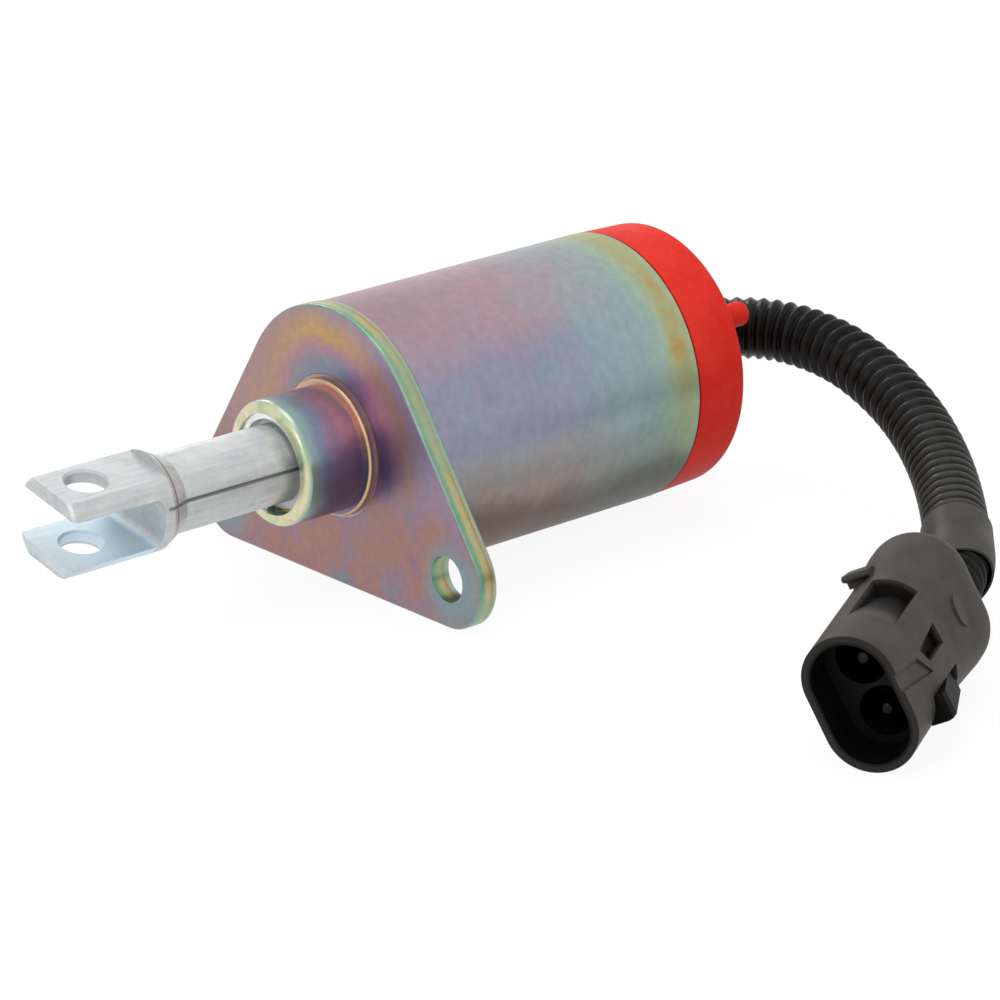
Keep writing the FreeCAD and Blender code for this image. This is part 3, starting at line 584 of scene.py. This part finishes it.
def route_line():
    """The loom's smooth centreline as points and their distances along it."""
    data = bpy.data.curves.new("loom_line", "CURVE")
    data.dimensions = "3D"
    data.resolution_u = 48
    spline = data.splines.new("NURBS")
    spline.points.add(len(loom_route) - 1)
    for point, place in zip(spline.points, loom_route):
        point.co = (*[value * MM for value in place], 1)
    spline.order_u = 3
    spline.use_endpoint_u = True
    helper = bpy.data.objects.new("loom_line", data)
    mesh = bpy.data.meshes.new_from_object(helper)
    points = [vertex.co.copy() for vertex in mesh.vertices]
    bpy.data.objects.remove(helper)
    bpy.data.curves.remove(data)
    bpy.data.meshes.remove(mesh)
    reach = [0.0]
    for before, after in zip(points, points[1:]):
        reach.append(reach[-1] + (after - before).length)
    return points, reach


def along(points, reach, distance):
    """Place and direction at a distance along the line."""
    index = 0
    while index < len(reach) - 2 and reach[index + 1] < distance:
        index += 1
    gap = reach[index + 1] - reach[index]
    share = (distance - reach[index]) / gap
    first = max(index - 1, 0)
    last = min(index + 2, len(points) - 1)
    heading = (points[last] - points[first]).normalized()
    return points[index].lerp(points[index + 1], share), heading


def tube_mesh(name, rings, sides):
    """Closed mesh through rings of (centre, direction, radius), kept from twisting."""
    vertices = []
    faces = []
    side = Vector((0, 0, 1))
    for centre, heading, radius in rings:
        side = (side - heading * side.dot(heading)).normalized()
        other = heading.cross(side)
        for step in range(sides):
            angle = 2 * math.pi * step / sides
            vertices.append(centre + side * (radius * math.cos(angle)) + other * (radius * math.sin(angle)))
    for row in range(len(rings) - 1):
        for step in range(sides):
            after = (step + 1) % sides
            low = row * sides
            high = low + sides
            faces.append((low + step, low + after, high + after, high + step))
    faces.append(tuple(reversed(range(sides))))
    faces.append(tuple(range((len(rings) - 1) * sides, len(rings) * sides)))
    mesh = bpy.data.meshes.new(name)
    mesh.from_pydata(vertices, [], faces)
    for polygon in mesh.polygons:
        polygon.use_smooth = len(polygon.vertices) == 4
    piece = bpy.data.objects.new(name, mesh)
    bpy.context.scene.collection.objects.link(piece)
    return piece


def loom_material():
    """Black ribbed plastic with a soft sheen, lighter towards the connector as a painted reflection of the
    pale floor, with painted shade in its grooves.
    """
    look = Look("loom_plastic")
    y = look.axes(look.place())[1]
    # Painted reflection of the pale floor: a lighter colour towards the connector.
    floor_reflection_share = look.product(look.span(y, -80 * MM, -40 * MM, 1.0, 0.0), look.span(y, -88 * MM, -84 * MM))
    clean = look.ramp(look.noise(5 * MM, 3.0), (0.3, (0.007, 0.007, 0.006)), (0.7, (0.014, 0.013, 0.012)))
    floor_reflection_tone = look.ramp(look.noise(5 * MM, 3.0), (0.3, (0.038, 0.035, 0.030)), (0.7, (0.053, 0.049, 0.042)))
    groove = look.add("ShaderNodeAttribute", attribute_name="groove").outputs["Fac"]
    colour = look.blend(floor_reflection_share, clean, floor_reflection_tone)
    # Painted shade: the grooves darkened to near black.
    colour = look.blend(look.span(groove, 0.35, 0.85, 0.0, 0.9), colour, (0.001, 0.001, 0.001))
    look.put(Base_Color=colour, Specular_IOR_Level=0.12)
    look.put(Roughness=look.sums("MULTIPLY_ADD", look.noise(4 * MM), 0.14, 0.22))
    return look.bump(look.noise(0.3 * MM), 0.02 * MM, 0.5).material


def rib_row(distance):
    """Spacing and depth of the ribs at a distance along the loom."""
    for first, second in zip(rib_rows, rib_rows[1:]):
        if distance <= second[0] * MM:
            share = (distance / MM - first[0]) / (second[0] - first[0])
            return [(a + (b - a) * share) * MM for a, b in zip(first[1:], second[1:])]


def make_loom():
    """Ribbed conduit along the route; its ribs stand closer where it leaves the cap."""
    points, reach = route_line()
    total = reach[-1]
    steps = int(total / ring_step)
    rings = []
    grooves = []
    turns = 0.0
    for step in range(steps + 1):
        distance = total * step / steps
        pitch, depth = rib_row(distance)
        turns += total / steps / pitch
        groove = 0.5 - 0.5 * math.cos(2 * math.pi * turns)
        grooves += [groove] * rib_sides
        place, heading = along(points, reach, distance)
        rings.append((place, heading, loom_radius - depth * groove))
    loom = tube_mesh("ribbed_loom", rings, rib_sides)
    loom.data.attributes.new("groove", "FLOAT", "POINT").data.foreach_set("value", grooves)
    loom.data.materials.append(loom_material())
    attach(loom, "housing")
    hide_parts("wiring_loom")


def seen_rays(tree):
    """1 for the rays that show the background: from the camera, in reflections and through glass."""
    rays = tree.nodes.new("ShaderNodeLightPath")
    level = rays.outputs["Is Camera Ray"]
    for name in ("Is Glossy Ray", "Is Transmission Ray"):
        more = tree.nodes.new("ShaderNodeMath")
        more.operation = "MAXIMUM"
        tree.links.new(level, more.inputs[0])
        tree.links.new(rays.outputs[name], more.inputs[1])
        level = more.outputs[0]
    return level


def make_stage():
    """Pale floor that shows as white, with only a faint shadow of the part."""
    floor_z = cad_box[0][2] - 0.05 * MM
    mesh = bpy.data.meshes.new("floor")
    size = 3.0
    corners = [(x * size, y * size, floor_z) for x, y in ((-1, -1), (1, -1), (1, 1), (-1, 1))]
    mesh.from_pydata(corners, [], [(0, 1, 2, 3)])
    floor = bpy.data.objects.new("floor", mesh)
    bpy.context.scene.collection.objects.link(floor)
    material = bpy.data.materials.new("floor_white")
    material.use_nodes = True
    tree = material.node_tree
    shader = tree.nodes["Principled BSDF"]
    shader.inputs["Base Color"].default_value = (0.66, 0.66, 0.66, 1)
    shader.inputs["Roughness"].default_value = 0.9
    white = tree.nodes.new("ShaderNodeEmission")
    white.inputs["Strength"].default_value = 1.08
    share = tree.nodes.new("ShaderNodeMath")
    share.operation = "MULTIPLY"
    share.inputs[1].default_value = 0.85
    mix = tree.nodes.new("ShaderNodeMixShader")
    tree.links.new(seen_rays(tree), share.inputs[0])
    tree.links.new(share.outputs[0], mix.inputs[0])
    tree.links.new(shader.outputs[0], mix.inputs[1])
    tree.links.new(white.outputs[0], mix.inputs[2])
    tree.links.new(mix.outputs[0], tree.nodes["Material Output"].inputs["Surface"])
    mesh.materials.append(material)


def make_world():
    """Pale surround, brighter overhead, white where it shows."""
    world = bpy.data.worlds.new("surround")
    bpy.context.scene.world = world
    world.use_nodes = True
    tree = world.node_tree
    background = tree.nodes["Background"]
    coordinates = tree.nodes.new("ShaderNodeTexCoord")
    split = tree.nodes.new("ShaderNodeSeparateXYZ")
    ramp = tree.nodes.new("ShaderNodeValToRGB")
    elements = ramp.color_ramp.elements
    elements[0].position = 0.45
    elements[0].color = (0.43, 0.43, 0.43, 1)
    elements[1].position = 0.80
    elements[1].color = (0.86, 0.86, 0.86, 1)
    rescale = tree.nodes.new("ShaderNodeMapRange")
    rescale.inputs[1].default_value = -1
    tree.links.new(coordinates.outputs["Generated"], split.inputs[0])
    tree.links.new(split.outputs[2], rescale.inputs[0])
    tree.links.new(rescale.outputs[0], ramp.inputs[0])
    mix = tree.nodes.new("ShaderNodeMix")
    mix.data_type = "RGBA"
    mix.inputs[7].default_value = (1, 1, 1, 1)
    tree.links.new(seen_rays(tree), mix.inputs[0])
    tree.links.new(ramp.outputs[0], mix.inputs[6])
    tree.links.new(mix.outputs[2], background.inputs["Color"])
    background.inputs["Strength"].default_value = 1.0


def area_light(name, place, target, size, power):
    data = bpy.data.lights.new(name, "AREA")
    data.shape = "DISK"
    data.size = size
    data.energy = power
    lamp = bpy.data.objects.new(name, data)
    bpy.context.scene.collection.objects.link(lamp)
    lamp.location = place
    lamp.rotation_euler = (Vector(target) - Vector(place)).to_track_quat("-Z", "Y").to_euler()


def make_lights():
    middle = (0.02, -0.03, 0.0)
    area_light("overhead", (0.0, 0.05, 0.75), middle, 0.60, 1.3)
    area_light("front_left", (-0.75, -0.35, 0.45), middle, 0.45, 0.9)
    area_light("behind", (0.26, 0.60, 0.34), (0.07, -0.04, 0.0), 0.14, 0.5)


make_camera()
make_loom()
make_looks()
make_stage()
make_world()
make_lights()

bpy.context.scene.view_settings.view_transform = "Standard"
